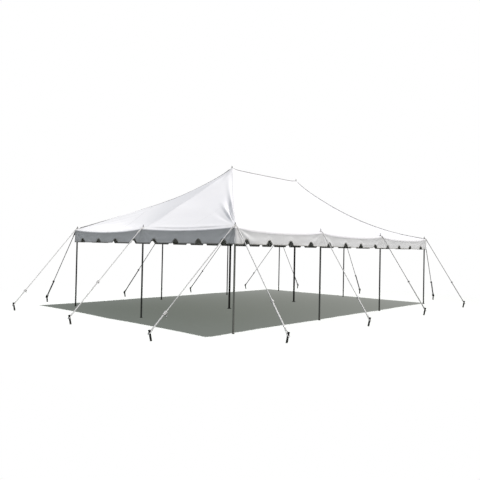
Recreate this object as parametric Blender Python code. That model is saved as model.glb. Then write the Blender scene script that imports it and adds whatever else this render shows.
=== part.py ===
"""Marquee tent: a white pole tent of 20 by 30 feet, pitched and guyed out.

Metres, +Z up.  The origin is on the ground in the middle of the pole plan.
+X runs along the two centre poles and +Y across them, so the long front
side faces -Y and the left end faces -X.
"""

import math

import bmesh
import bpy
from mathutils import Matrix, Vector

# Pole plan
BAY = 3.048                  # ten feet from one side pole to the next
HALF_LENGTH = 1.5 * BAY      # three bays along the front and the back
HALF_WIDTH = BAY             # two bays across each end
PEAK_X = 0.5 * BAY           # the two centre poles stand one bay apart

# Canopy
EAVE_HEIGHT = 2.135          # canopy edge, level with the side poles
PEAK_HEIGHT = 3.948          # canopy at a centre pole, mean of the two
PEAK_LEAN = -0.018           # the right peak stands lower than the left by twice this
EAVE_OVERHANG = 0.055        # canopy edge beyond the pole line
SKIN = 0.003                 # thickness of the cloth solids
SLACK_MEAN = 0.425           # how much of a slope's profile curves, mean of the two ends
SLACK_LEAN = 0.160           # the right end hangs slacker than the left by twice this
SLACK_POWER = 2.2            # steepness of the curved share towards the peak
HIP_ROUNDING = 0.143         # how far the hips are rounded off near the peaks
HIP_WAVE = -0.012            # rise of the upper half of a hip, and fall of its lower half, mean
HIP_WAVE_LEAN = 0.022        # what the right end's hips have above the mean, and the left's below
CREST_RISE = 0.085           # fold that runs up each end slope from its middle pole to the peak
CREST_REACH = 0.50           # plan distance over which the fold falls away
EAVE_SAG = 0.062             # dip of the canopy edge between two poles
EAVE_BOW = 0.030             # how far the edge is drawn in between two poles
RIDGE_SAG = 0.012            # dip of the ridge between the peaks

# Valance
VALANCE_FOOT = 1.795         # height of the lobes' lower edge
SCALLOP_PITCH = BAY / 4.0    # four scallop notches to a bay
NOTCH_HEIGHT = 0.100
NOTCH_HALF_WIDTH = 0.106
NOTCH_STEPS = 8

# Poles
SIDE_POLE_RADIUS = 0.0205
SIDE_FOOT_RADIUS = 0.032
SIDE_PIN_RADIUS = 0.008
SIDE_PIN_RISE = 0.078        # pin above the canopy
CENTRE_POLE_RADIUS = 0.0285
CENTRE_FOOT_RADIUS = 0.065
CENTRE_PIN_RADIUS = 0.010
CENTRE_PIN_RISE = 0.095
CROWN_RADIUS = 0.070         # round plate that carries the canopy's peak
PLATE = 0.008                # thickness of feet and crown plates
PIN_PLAY = 0.0015            # room round a pin in its eyelet

# Guy ropes
ROPE_RADIUS = 0.009
EYE_RADIUS = 0.0198          # middle of the rope's eye round a pin
EYE_THICKNESS = 0.0095       # the whipped eye is a little thicker than the rope
EDGE_ROOM = 0.0006           # room between a rope and the canopy's edge that it bends over
SLIDER_LENGTH = 0.10
SLIDER_RADIUS = 0.023
STRAND_SPACING = 0.0096      # half the distance of the two strands in the slider
WRAP_STEP = 30.0             # degrees from point to point round the stake

# Stakes
STAKE_RADIUS = 0.0165
STAKE_HEIGHT = 0.205
STAKE_HEAD_RADIUS = 0.026
STAKE_HEAD_DEPTH = 0.014
STAKE_LEAN = math.radians(11.0)
ROPE_HEIGHT = 0.155          # where the rope goes round its stake

GAP = 0.0003                 # room between pieces that touch
SPLIT = 0.0002               # half of the cut between two slopes

RISE = PEAK_HEIGHT - EAVE_HEIGHT
EDGE_X = HALF_LENGTH + EAVE_OVERHANG
EDGE_Y = HALF_WIDTH + EAVE_OVERHANG
RUN = EDGE_Y                 # plan distance from a peak to every eave
ROWS = (0.0, CROWN_RADIUS / RUN, 0.07, 0.15, 0.27, 0.42, 0.6, 0.8, HALF_WIDTH / RUN, 1.0)

SIDES = {
    "front": Vector((0.0, -1.0, 0.0)),
    "back": Vector((0.0, 1.0, 0.0)),
    "left": Vector((-1.0, 0.0, 0.0)),
    "right": Vector((1.0, 0.0, 0.0)),
}

# Side poles: name, plan place in half lengths and half widths
SIDE_POLES = {
    "corner_pole_front_left": (-HALF_LENGTH, -HALF_WIDTH),
    "side_pole_front_left": (-PEAK_X, -HALF_WIDTH),
    "side_pole_front_right": (PEAK_X, -HALF_WIDTH),
    "corner_pole_front_right": (HALF_LENGTH, -HALF_WIDTH),
    "end_pole_right": (HALF_LENGTH, 0.0),
    "corner_pole_back_right": (HALF_LENGTH, HALF_WIDTH),
    "side_pole_back_right": (PEAK_X, HALF_WIDTH),
    "side_pole_back_left": (-PEAK_X, HALF_WIDTH),
    "corner_pole_back_left": (-HALF_LENGTH, HALF_WIDTH),
    "end_pole_left": (-HALF_LENGTH, 0.0),
}
CENTRE_POLES = {
    "centre_pole_left": (-PEAK_X, 0.0),
    "centre_pole_right": (PEAK_X, 0.0),
}

# Guys as they were pitched by eye: name, pole, side that the rope pulls to, the stake's reach from
# the pole line, its drift along that side, eye on the pin from below, slider's share of the rope
GUYS = (
    ("corner_front_left_end", "corner_pole_front_left", "left", 1.71, 0.43, 0, 0.17),
    ("corner_front_left", "corner_pole_front_left", "front", 1.33, 0.02, 1, 0.30),
    ("front_left", "side_pole_front_left", "front", 1.29, 0.06, 0, 0.25),
    ("front_right", "side_pole_front_right", "front", 1.28, 0.07, 0, 0.38),
    ("corner_front_right", "corner_pole_front_right", "front", 1.27, 0.0, 1, 0.32),
    ("corner_front_right_end", "corner_pole_front_right", "right", 1.72, 0.38, 0, 0.26),
    ("end_right", "end_pole_right", "right", 1.70, 0.29, 0, 0.30),
    ("corner_back_right_end", "corner_pole_back_right", "right", 1.72, 0.31, 0, 0.24),
    ("corner_back_right", "corner_pole_back_right", "back", 1.47, -0.38, 1, 0.28),
    ("back_right", "side_pole_back_right", "back", 1.47, -0.45, 0, 0.35),
    ("back_left", "side_pole_back_left", "back", 1.47, -0.38, 0, 0.40),
    ("corner_back_left", "corner_pole_back_left", "back", 1.47, -0.09, 1, 0.25),
    ("corner_back_left_end", "corner_pole_back_left", "left", 1.68, 0.06, 0, 0.18),
    ("end_left", "end_pole_left", "left", 1.79, 0.09, 0, 0.38),
)


def clear_scene():
    for obj in list(bpy.data.objects):
        bpy.data.objects.remove(obj, do_unlink=True)


def make_material(name, colour, roughness, metallic):
    material = bpy.data.materials.new(name)
    material.use_nodes = True
    shader = material.node_tree.nodes["Principled BSDF"]
    shader.inputs["Base Color"].default_value = (*colour, 1.0)
    shader.inputs["Roughness"].default_value = roughness
    shader.inputs["Metallic"].default_value = metallic
    material.diffuse_color = (*colour, 1.0)
    return material


def add_object(name, bm, material, location=(0.0, 0.0, 0.0), smooth=True):
    """Turn a bmesh into a named object with faces pointing out."""
    bmesh.ops.recalc_face_normals(bm, faces=bm.faces[:])
    mesh = bpy.data.meshes.new(name)
    bm.to_mesh(mesh)
    bm.free()
    if smooth:
        mesh.shade_smooth()
        mesh.set_sharp_from_angle(angle=math.radians(40.0))
    if material:
        mesh.materials.append(material)
    obj = bpy.data.objects.new(name, mesh)
    obj.location = location
    bpy.context.scene.collection.objects.link(obj)
    return obj


def add_tool(name, bm, location=(0.0, 0.0, 0.0)):
    """A solid that is only cut away from, or joined to, another one."""
    obj = add_object(name, bm, None, location, smooth=False)
    obj.hide_render = True
    obj.display_type = "WIRE"
    return obj


def add_boolean(obj, tool, operation, use_self=False):
    modifier = obj.modifiers.new(operation.lower(), "BOOLEAN")
    modifier.operation = operation
    modifier.object = tool
    modifier.solver = "EXACT"
    modifier.use_self = use_self


def turned(profile, sides):
    """A solid of revolution about Z from a profile of (radius, height) points."""
    bm = bmesh.new()
    points = [bm.verts.new((radius, 0.0, height)) for radius, height in profile]
    edges = [bm.edges.new(pair) for pair in zip(points, points[1:])]
    bmesh.ops.spin(bm, geom=points + edges, cent=(0.0, 0.0, 0.0), axis=(0.0, 0.0, 1.0),
                   angle=2.0 * math.pi, steps=sides, use_merge=True)
    bmesh.ops.remove_doubles(bm, verts=bm.verts[:], dist=1e-5)
    return bm


def add_tube(bm, path, radius, sides, closed=False):
    """Sweep a round section along a list of points, with flat ends or closed on itself."""
    count = len(path)
    rings = []
    side = None
    for index, point in enumerate(path):
        if closed:
            ahead = path[(index + 1) % count] - path[index - 1]
        else:
            ahead = path[min(index + 1, count - 1)] - path[max(index - 1, 0)]
        ahead.normalize()
        if side is None:
            side = ahead.orthogonal().normalized() if not closed else Vector((0.0, 0.0, 1.0))
        side = (side - ahead * side.dot(ahead)).normalized()
        other = ahead.cross(side)
        ring = []
        for step in range(sides):
            angle = 2.0 * math.pi * step / sides
            ring.append(bm.verts.new(point + radius * (math.cos(angle) * side + math.sin(angle) * other)))
        rings.append(ring)
    pairs = list(zip(rings, rings[1:]))
    if closed:
        pairs.append((rings[-1], rings[0]))
    else:
        bm.faces.new(rings[0])
        bm.faces.new(rings[-1])
    for ring, following in pairs:
        for step in range(sides):
            after = (step + 1) % sides
            bm.faces.new((ring[step], ring[after], following[after], following[step]))


def eave_phase(x, y):
    """Where the fall line through a plan point meets the eave, as 0 to 1 between two poles."""
    beyond = max(abs(x) - PEAK_X, 0.0)
    across = abs(y)
    if beyond == 0.0:
        return (x + PEAK_X) / (2.0 * PEAK_X)
    steep = max(beyond, across)
    along = beyond if across >= beyond else across
    return min(along / steep * RUN / BAY, 1.0)


def ease(value, low, high):
    """A smooth step from 0 at low to 1 at high."""
    share = max(0.0, min(1.0, (value - low) / (high - low)))
    return share * share * (3.0 - 2.0 * share)


def roof_height(x, y):
    """Height of the canopy's upper side over a plan point of the straight-edged plan."""
    beyond = max(abs(x) - PEAK_X, 0.0)
    across = abs(y)
    steep = max(beyond, across)
    fall = steep / RUN
    if steep > 0.0:
        corner = min(beyond, across) / steep
        fall += HIP_ROUNDING * fall * corner ** 4 * max(1.0 - fall, 0.0)
    end = max(-1.0, min(1.0, x / PEAK_X))
    slack = SLACK_MEAN + SLACK_LEAN * end
    left = max(1.0 - fall, 0.0)
    share = (1.0 - slack) * left + slack * left ** SLACK_POWER
    height = EAVE_HEIGHT + (RISE + PEAK_LEAN * end) * share
    if steep > 0.0:
        wave = math.sin(2.0 * math.pi * steep / RUN)
        height += (HIP_WAVE + HIP_WAVE_LEAN * end) * corner ** 4 * wave
    if beyond > across:
        reach = beyond / RUN
        crest = ease(reach, 0.05, 0.30) * (1.0 - ease(reach, 0.62, 0.92))
        height += CREST_RISE * crest * ease(1.0 - across / beyond, 0.0, 1.0) * math.exp(-across / CREST_REACH)
    if steep > 0.0:
        phase = eave_phase(x, y)
        height -= EAVE_SAG * 4.0 * phase * (1.0 - phase) * (steep / RUN) ** 1.6
    if beyond == 0.0:
        height -= RIDGE_SAG * (1.0 - (x / PEAK_X) ** 2) * left
    return height


def roof_point(x, y, outward):
    """A point of the canopy, with the edge drawn in between the poles."""
    height = roof_height(x, y)
    fall = max(max(abs(x) - PEAK_X, 0.0), abs(y)) / RUN
    phase = eave_phase(x, y) if fall > 0.0 else 0.0
    draw = EAVE_BOW * 4.0 * phase * (1.0 - phase) * fall ** 4
    return Vector((x, y, height)) - outward * draw


def eave_stations(half):
    """Places along an eave: the poles, the scallop notches and the lobes between them."""
    count = round(half * 2.0 / SCALLOP_PITCH)
    inner = [index * SCALLOP_PITCH / 2.0 for index in range(-count, count + 1)]
    return [-half - EAVE_OVERHANG] + inner + [half + EAVE_OVERHANG]


def slope_plan(side, station, fall):
    """Plan point of a slope at a share of its fall, on the line that meets the eave at a station."""
    if side in ("front", "back"):
        beyond = abs(station) - PEAK_X
        x = station
        if beyond > 0.0:
            x = math.copysign(PEAK_X + beyond * fall, station)
        return x, SIDES[side].y * RUN * fall
    return SIDES[side].x * (PEAK_X + RUN * fall), station * fall


def make_slope(side, vinyl, pin_holes):
    """One slope of the canopy, cut free of its neighbours at the hips and the ridge."""
    outward = SIDES[side]
    half = HALF_LENGTH if side in ("front", "back") else HALF_WIDTH
    stations = eave_stations(half)
    bm = bmesh.new()
    grid = []
    for fall in ROWS:
        row = []
        for station in stations:
            x, y = slope_plan(side, station, fall)
            row.append(bm.verts.new(roof_point(x, y, outward) + outward * SPLIT))
        grid.append(row)
    for upper, lower in zip(grid, grid[1:]):
        for column in range(len(stations) - 1):
            bm.faces.new((upper[column], upper[column + 1], lower[column + 1], lower[column]))
    bmesh.ops.remove_doubles(bm, verts=bm.verts[:], dist=1e-5)
    under = bmesh.ops.extrude_face_region(bm, geom=bm.faces[:])
    moved = [item for item in under["geom"] if isinstance(item, bmesh.types.BMVert)]
    bmesh.ops.translate(bm, verts=moved, vec=(0.0, 0.0, -SKIN))
    slope = add_object("canopy_slope_" + side, bm, vinyl)
    add_boolean(slope, pin_holes, "DIFFERENCE")


def make_pin_holes():
    """Upright cylinders that cut the eyelets for the pins into the canopy."""
    bm = bmesh.new()
    pins = [(place, SIDE_PIN_RADIUS) for place in SIDE_POLES.values()]
    pins += [(place, CENTRE_PIN_RADIUS) for place in CENTRE_POLES.values()]
    for (x, y), radius in pins:
        middle = roof_height(x, y)
        bmesh.ops.create_cone(bm, cap_ends=True, segments=12, radius1=radius + PIN_PLAY,
                              radius2=radius + PIN_PLAY, depth=0.2,
                              matrix=Matrix.Translation((x, y, middle)))
    return add_tool("pin_holes", bm)


def valance_foot(station):
    """Height of the valance's lower edge, raised in a dome at each notch."""
    place = station / SCALLOP_PITCH - 0.5
    offset = abs(place - round(place)) * SCALLOP_PITCH
    if offset >= NOTCH_HALF_WIDTH:
        return VALANCE_FOOT
    return VALANCE_FOOT + NOTCH_HEIGHT * (1.0 - (offset / NOTCH_HALF_WIDTH) ** 2)


def valance_stations(half, trim):
    """Places along a valance: lobes, and each notch in steps."""
    notches = round(half * 2.0 / SCALLOP_PITCH)
    places = [-half - EAVE_OVERHANG + trim, half + EAVE_OVERHANG - trim]
    places += [index * SCALLOP_PITCH - half for index in range(notches + 1)]
    for index in range(notches):
        centre = (index + 0.5) * SCALLOP_PITCH - half
        for step in range(NOTCH_STEPS + 1):
            places.append(centre + NOTCH_HALF_WIDTH * (2.0 * step / NOTCH_STEPS - 1.0))
    return sorted(places)


def make_valance(side, vinyl):
    """The scalloped curtain that hangs from one edge of the canopy."""
    outward = SIDES[side]
    along = Vector((abs(outward.y), abs(outward.x), 0.0))
    long_side = side in ("front", "back")
    half = HALF_LENGTH if long_side else HALF_WIDTH
    reach = EDGE_Y if long_side else EDGE_X
    trim = 0.0 if long_side else SKIN + GAP
    bm = bmesh.new()
    columns = []
    for station in valance_stations(half, trim):
        plan = outward * reach + along * station
        edge = roof_point(plan.x, plan.y, outward) + outward * SPLIT
        top = edge.z - SKIN - GAP
        foot = valance_foot(station + half)
        column = []
        for depth in (0.0, SKIN):
            place = edge - outward * depth
            column.append(bm.verts.new((place.x, place.y, top)))
            column.append(bm.verts.new((place.x, place.y, foot)))
        columns.append(column)
    for first, second in zip(columns, columns[1:]):
        for here, there in ((0, 1), (1, 3), (3, 2), (2, 0)):
            bm.faces.new((first[here], first[there], second[there], second[here]))
    for column in (columns[0], columns[-1]):
        bm.faces.new((column[0], column[1], column[3], column[2]))
    add_object("valance_" + side, bm, vinyl)


def seat_height(x, y, radius):
    """Top of a round plate that touches the canopy from below."""
    heights = []
    for step in range(16):
        angle = math.pi * step / 8.0
        heights.append(roof_height(x + radius * math.cos(angle), y + radius * math.sin(angle)))
    return min(heights) - SKIN - GAP


def make_side_pole(name, place, steel):
    """A tube with a plate foot and a pin that goes up through the canopy's eyelet."""
    shoulder = seat_height(*place, SIDE_POLE_RADIUS)
    pin_top = roof_height(*place) + SIDE_PIN_RISE
    profile = [(0.0, 0.0), (SIDE_FOOT_RADIUS, 0.0), (SIDE_FOOT_RADIUS, PLATE),
               (SIDE_POLE_RADIUS, PLATE), (SIDE_POLE_RADIUS, shoulder),
               (SIDE_PIN_RADIUS, shoulder), (SIDE_PIN_RADIUS, pin_top), (0.0, pin_top)]
    add_object(name, turned(profile, 12), steel, (*place, 0.0))


def make_centre_pole(name, place, steel):
    """A taller tube with a crown plate under the peak and a pin through it."""
    crown = seat_height(*place, CROWN_RADIUS)
    pin_top = roof_height(*place) + CENTRE_PIN_RISE
    profile = [(0.0, 0.0), (CENTRE_FOOT_RADIUS, 0.0), (CENTRE_FOOT_RADIUS, PLATE),
               (CENTRE_POLE_RADIUS, PLATE), (CENTRE_POLE_RADIUS, crown - PLATE),
               (CROWN_RADIUS, crown - PLATE), (CROWN_RADIUS, crown),
               (CENTRE_PIN_RADIUS, crown), (CENTRE_PIN_RADIUS, pin_top), (0.0, pin_top)]
    add_object(name, turned(profile, 16), steel, (*place, 0.0))


def rope_heading(pin, foot):
    """Level direction of a rope from its pin to its stake."""
    return Vector((foot.x - pin[0], foot.y - pin[1], 0.0)).normalized()


def stake_axis(heading):
    """Direction of a stake, its head leaning away from the tent in line with its rope."""
    return heading * math.sin(STAKE_LEAN) + Vector((0.0, 0.0, math.cos(STAKE_LEAN)))


def make_stake(name, pin, foot, iron):
    """A round iron stake with a flat head, cut off level with the ground."""
    length = STAKE_HEIGHT / math.cos(STAKE_LEAN)
    below = length - STAKE_HEAD_DEPTH
    profile = [(0.0, 0.0), (STAKE_RADIUS, 0.0), (STAKE_RADIUS, below - 0.002),
               (STAKE_HEAD_RADIUS, below), (STAKE_HEAD_RADIUS, length - 0.003),
               (0.6 * STAKE_HEAD_RADIUS, length), (0.0, length)]
    bm = turned(profile, 8)
    axis = stake_axis(rope_heading(pin, foot))
    turn = Vector((0.0, 0.0, 1.0)).rotation_difference(axis)
    for vert in bm.verts:
        at_foot = vert.co.z < 1e-6
        vert.co = turn @ vert.co
        if at_foot:
            vert.co -= axis * (vert.co.z / axis.z)
    add_object(name, bm, iron, foot)


def eye_height(x, y, level):
    """Height of the rope's eye round a pin, resting on the canopy or on the eye below."""
    reach = EYE_RADIUS + 0.5 * EYE_THICKNESS
    heights = []
    for step in range(16):
        angle = math.pi * step / 8.0
        heights.append(roof_height(x + reach * math.cos(angle), y + reach * math.sin(angle)))
    return max(heights) + (1.13 + level * 2.05) * EYE_THICKNESS


def make_guy_rope(name, pin, outward, foot, level, share, rope):
    """A rope from its eye on the pin, over the canopy edge, round the stake and back to the slider."""
    up = Vector((0.0, 0.0, 1.0))
    base = Vector((*pin, 0.0))
    heading = rope_heading(pin, foot)
    across = up.cross(heading)
    eye = base + up * eye_height(*pin, level)
    axis = stake_axis(heading)
    hitch = foot + axis * (ROPE_HEIGHT / axis.z)
    edge = base + heading * (EAVE_OVERHANG / heading.dot(outward))
    edge.z = roof_height(edge.x, edge.y)
    lead = (hitch - edge).normalized()
    steep = math.asin(-lead.z)
    clear = ROPE_RADIUS + EDGE_ROOM
    bends = []
    for part in (1.0,) if level else (0.5, 1.0):
        angle = part * steep
        bends.append(edge + clear * (heading * math.sin(angle) + up * math.cos(angle)))
    pull = (hitch - bends[-1]).normalized()
    slider = hitch + (bends[-1] - hitch) * share
    half_slider = pull * (0.5 * SLIDER_LENGTH)
    apart = across * STRAND_SPACING
    bulge = 1.0 / math.cos(math.radians(0.5 * WRAP_STEP))
    wrap_across = bulge * (STAKE_RADIUS + ROPE_RADIUS + 0.5 * GAP)
    wrap_along = wrap_across / pull.cross(axis).length
    wrap = []
    for step in range(-3, 4):
        angle = math.radians(WRAP_STEP * step)
        wrap.append(hitch - across * (wrap_across * math.sin(angle)) + pull * (wrap_along * math.cos(angle)))
    path = [eye + heading * EYE_RADIUS, eye + heading * (EYE_RADIUS + 2.0 * ROPE_RADIUS)]
    path += bends
    path += [slider - half_slider * 1.4, slider + apart]
    path += wrap
    path += [slider + half_slider * 0.8 - apart, slider - half_slider * 0.3 - apart]
    bm = bmesh.new()
    add_tube(bm, [point - base for point in path], ROPE_RADIUS, 6)
    ring = []
    for step in range(8):
        angle = math.pi * step / 4.0
        spoke = heading * math.cos(angle) + across * math.sin(angle)
        ring.append(eye + spoke * EYE_RADIUS - base)
    add_tube(bm, ring, EYE_THICKNESS, 6, closed=True)
    obj = add_object("guy_rope_" + name, bm, rope, base)
    block = bmesh.new()
    add_tube(block, [slider - half_slider - base, slider + half_slider - base], SLIDER_RADIUS, 8)
    tool = add_tool("slider_" + name, block, base)
    add_boolean(obj, tool, "UNION", use_self=True)


def main():
    clear_scene()
    vinyl = make_material("white_vinyl", (0.92, 0.92, 0.94), 0.45, 0.0)
    side_steel = make_material("side_pole_steel", (0.27, 0.28, 0.26), 0.45, 0.8)
    centre_steel = make_material("centre_pole_steel", (0.13, 0.13, 0.12), 0.5, 0.7)
    rope = make_material("white_rope", (0.86, 0.86, 0.84), 0.8, 0.0)
    iron = make_material("stake_iron", (0.04, 0.04, 0.04), 0.6, 0.6)

    pin_holes = make_pin_holes()
    for side in SIDES:
        make_slope(side, vinyl, pin_holes)
        make_valance(side, vinyl)
    for name, place in SIDE_POLES.items():
        make_side_pole(name, place, side_steel)
    for name, place in CENTRE_POLES.items():
        make_centre_pole(name, place, centre_steel)
    for name, pole, side, reach, drift, level, share in GUYS:
        outward = SIDES[side]
        along = Vector((abs(outward.y), abs(outward.x), 0.0))
        pin = SIDE_POLES[pole]
        foot = Vector((*pin, 0.0)) + outward * reach + along * drift
        make_stake("stake_" + name, pin, foot, iron)
        make_guy_rope(name, pin, outward, foot, level, share, rope)


main()
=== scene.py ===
from math import atan2, copysign, cos, degrees, exp, hypot, pi, radians, sin, tan, tau

import bpy
from mathutils import Matrix, Vector, noise


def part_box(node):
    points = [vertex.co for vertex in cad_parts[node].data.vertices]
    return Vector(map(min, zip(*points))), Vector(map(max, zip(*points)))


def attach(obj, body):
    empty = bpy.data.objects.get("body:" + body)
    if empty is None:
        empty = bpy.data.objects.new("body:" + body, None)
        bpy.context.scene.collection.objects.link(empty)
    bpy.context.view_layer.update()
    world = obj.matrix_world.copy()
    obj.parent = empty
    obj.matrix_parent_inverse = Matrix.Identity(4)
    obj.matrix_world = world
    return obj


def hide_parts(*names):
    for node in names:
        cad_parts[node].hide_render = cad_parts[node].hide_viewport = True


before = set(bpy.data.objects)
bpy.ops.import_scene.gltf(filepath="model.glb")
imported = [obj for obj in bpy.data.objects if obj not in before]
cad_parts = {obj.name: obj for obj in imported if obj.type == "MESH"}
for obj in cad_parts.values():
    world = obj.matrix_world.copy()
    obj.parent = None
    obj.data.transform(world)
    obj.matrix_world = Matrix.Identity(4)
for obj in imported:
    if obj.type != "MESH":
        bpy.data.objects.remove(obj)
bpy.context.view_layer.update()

# Light and camera. A high sun off the front lights the cloth, and a pale sky over dark ground fills
# the rest. The camera stands at eye height off the near left corner, where the photo was taken.


class Shade:
    """A value, colour or vector of a shader, so that its maths is written as Python expressions."""

    def __init__(self, tree, socket=None):
        self.tree = tree
        self.socket = socket

    def node(self, kind, settings=None, sockets=None, out=0):
        """Add a node: its type, its settings, and the values or links of its sockets."""
        made = self.tree.nodes.new(kind)
        for key, value in (settings or {}).items():
            setattr(made, key, value)
        for key, value in (sockets or {}).items():
            if isinstance(value, Shade):
                self.tree.links.new(value.socket, made.inputs[key])
            else:
                made.inputs[key].default_value = value
        return Shade(self.tree, made.outputs[out])

    def maths(self, operation, *others):
        sockets = dict(enumerate((self, *others)))
        return self.node("ShaderNodeMath", {"operation": operation}, sockets)

    def __add__(self, other):
        return self.maths("ADD", other)

    def __sub__(self, other):
        return self.maths("SUBTRACT", other)

    def __rsub__(self, other):
        return self.node("ShaderNodeMath", {"operation": "SUBTRACT"}, {0: other, 1: self})

    def __mul__(self, other):
        return self.maths("MULTIPLY", other)

    def __abs__(self):
        return self.maths("ABSOLUTE")

    __radd__ = __add__

    def step(self, low, high):
        """An eased step from 0 at low to 1 at high."""
        return self.node("ShaderNodeMapRange", {"interpolation_type": "SMOOTHSTEP"},
                         {"Value": self, "From Min": low, "From Max": high})

    def blend(self, low, high):
        """The colour that lies between two colours by this value."""
        low, high = (end if isinstance(end, Shade) else (*end, 1.0) for end in (low, high))
        return self.node("ShaderNodeMix", {"data_type": "RGBA"}, {0: self, 6: low, 7: high}, out=2)


def add_lamp(name, kind, strength, colour, place=(0.0, 0.0, 0.0), towards=(0.0, 0.0, 1.0)):
    """A lamp at a place, or a sun that stands in a direction."""
    lamp = bpy.data.lights.new(name, kind)
    lamp.energy = strength
    lamp.color = colour
    obj = bpy.data.objects.new(name, lamp)
    obj.location = place
    obj.rotation_mode = "QUATERNION"
    obj.rotation_quaternion = Vector(towards).to_track_quat("Z", "Y")
    bpy.context.scene.collection.objects.link(obj)
    return obj


SUN_STRENGTH = 2.7
SUN_COLOUR = (1.0, 0.95, 0.92)
SUN_WAY = (0.206, -0.588, 0.784)
sun = add_lamp("high_sun", "SUN", SUN_STRENGTH, SUN_COLOUR, towards=SUN_WAY)
sun.data.angle = radians(1.2)

WHITE = (1.0, 1.0, 1.0)
LOW_SKY = (0.42, 0.45, 0.48)
HIGH_SKY = (0.67, 0.69, 0.73)
GROUND = (0.018, 0.020, 0.015)
world = bpy.data.worlds.new("pale_sky")
bpy.context.scene.world = world
world.use_nodes = True
sky = Shade(world.node_tree)
rise = sky.node("ShaderNodeSeparateXYZ", None, {0: sky.node("ShaderNodeTexCoord")}, out=2)
glow = rise.step(0.0, 1.0).blend(LOW_SKY, HIGH_SKY)
glow = rise.step(0.0, 0.10).blend(GROUND, glow)
backdrop = sky.node("ShaderNodeLightPath").blend(glow, WHITE)
world.node_tree.links.new(backdrop.socket, world.node_tree.nodes["Background"].inputs["Color"])
bpy.context.scene.view_settings.view_transform = "Standard"

FOCAL_PIXELS = 513.88
FRAME_PIXELS = 480.0
CAMERA_PLACE = (-12.076, -10.118, 1.711)
CAMERA_HEADING = -47.258  # degrees from +Y
CAMERA_TILT = 90.939  # degrees up from straight down
CAMERA_ROLL = 1.149
lens = bpy.data.cameras.new("photo_camera")
lens.sensor_width = 36.0
lens.lens = FOCAL_PIXELS / FRAME_PIXELS * lens.sensor_width
lens.clip_end = 500.0
camera = bpy.data.objects.new("photo_camera", lens)
heading = Matrix.Rotation(radians(CAMERA_HEADING), 4, "Z")
tilt = Matrix.Rotation(radians(CAMERA_TILT), 4, "X")
roll = Matrix.Rotation(radians(CAMERA_ROLL), 4, "Z")
camera.matrix_world = Matrix.Translation(CAMERA_PLACE) @ heading @ tilt @ roll
bpy.context.scene.collection.objects.link(camera)
bpy.context.scene.camera = camera

# The floor is a plain pale sheet of studio flooring, wide enough to fill the view. A lamp of its own,
# nearly overhead, throws the shadow of the tent's cloth on it, and it throws no light back under the
# tent.


def material_of(name, constants):
    """A material, its shader with constants set, and the shaded point: place, X, Y and Z."""
    material = bpy.data.materials.new(name)
    material.use_nodes = True
    shader = material.node_tree.nodes["Principled BSDF"]
    for key, value in constants.items():
        shader.inputs[key].default_value = value
    place = Shade(material.node_tree).node("ShaderNodeTexCoord", out="Object")
    parts = (place.node("ShaderNodeSeparateXYZ", None, {0: place}, out=axis) for axis in "XYZ")
    return material, shader, place, *parts


def feed(shader, values):
    """Link values to a shader's sockets."""
    for key, value in values.items():
        shader.id_data.links.new(value.socket, shader.inputs[key])


def squared_away(x, y, middle):
    """Square of the level distance from a middle."""
    return (x - middle[0]) * (x - middle[0]) + (y - middle[1]) * (y - middle[1])


LAMP_PLACE = (1.75, -4.5, 24.0)
LAMP_STRENGTH = 187000.0
BLACK = (0.0, 0.0, 0.0)
SHADOW_LEFT = (0.136, 0.151, 0.129)
SHADOW_RIGHT = (0.281, 0.290, 0.266)
FLOOR_RADIUS = 80.0
FLOOR_SIDES = 96

# In the cloth's shadow the floor shows a faint glow of its own. The base colour undoes the lamp's
# falloff, and well outside the tent the glow alone is white.
flooring, shader, _, x, y, _ = material_of("pale_flooring", {
    "Roughness": 0.9, "Specular IOR Level": 0.0, "Emission Strength": 1.0})
across = x * 0.1 - y * 0.033 + 0.5
outside = (x * x + y * y).maths("SQRT").step(7.6, 10.0)
falloff = (squared_away(x, y, LAMP_PLACE) * LAMP_PLACE[2] ** -2 + 1.0).maths("POWER", 1.5)
evened = falloff * (1.0 - across * 0.14) * (1.0 - outside)
glow = across.blend(SHADOW_LEFT, SHADOW_RIGHT)
feed(shader, {"Base Color": (evened * 0.1).blend(BLACK, WHITE),
              "Emission Color": outside.blend(glow, WHITE)})

turns = [tau * step / FLOOR_SIDES for step in range(FLOOR_SIDES)]
disc = [(FLOOR_RADIUS * cos(turn), FLOOR_RADIUS * sin(turn), -0.001) for turn in turns]
mesh = bpy.data.meshes.new("floor")
mesh.from_pydata(disc, [], [range(FLOOR_SIDES)])
mesh.materials.append(flooring)
floor = bpy.data.objects.new("floor", mesh)
floor.visible_diffuse = False
bpy.context.scene.collection.objects.link(floor)

shadow_lamp = add_lamp("shadow_lamp", "POINT", LAMP_STRENGTH, WHITE, place=LAMP_PLACE)
shadow_lamp.data.shadow_soft_size = 0.3
for lamp, state in ((sun, "EXCLUDE"), (shadow_lamp, "INCLUDE")):
    lit = bpy.data.collections.new(lamp.name + "_and_floor")
    lit.objects.link(floor)
    lit.collection_objects[0].light_linking.link_state = state
    lamp.light_linking.receiver_collection = lit

# The canopy is one sheet of white vinyl-coated polyester, welded from panels that run down its
# slopes, with a doubled patch at every pole. The poles push it up into two peaks, the guys pull its
# edge tight, and the pull raises folds that fan out from the corners.

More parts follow.
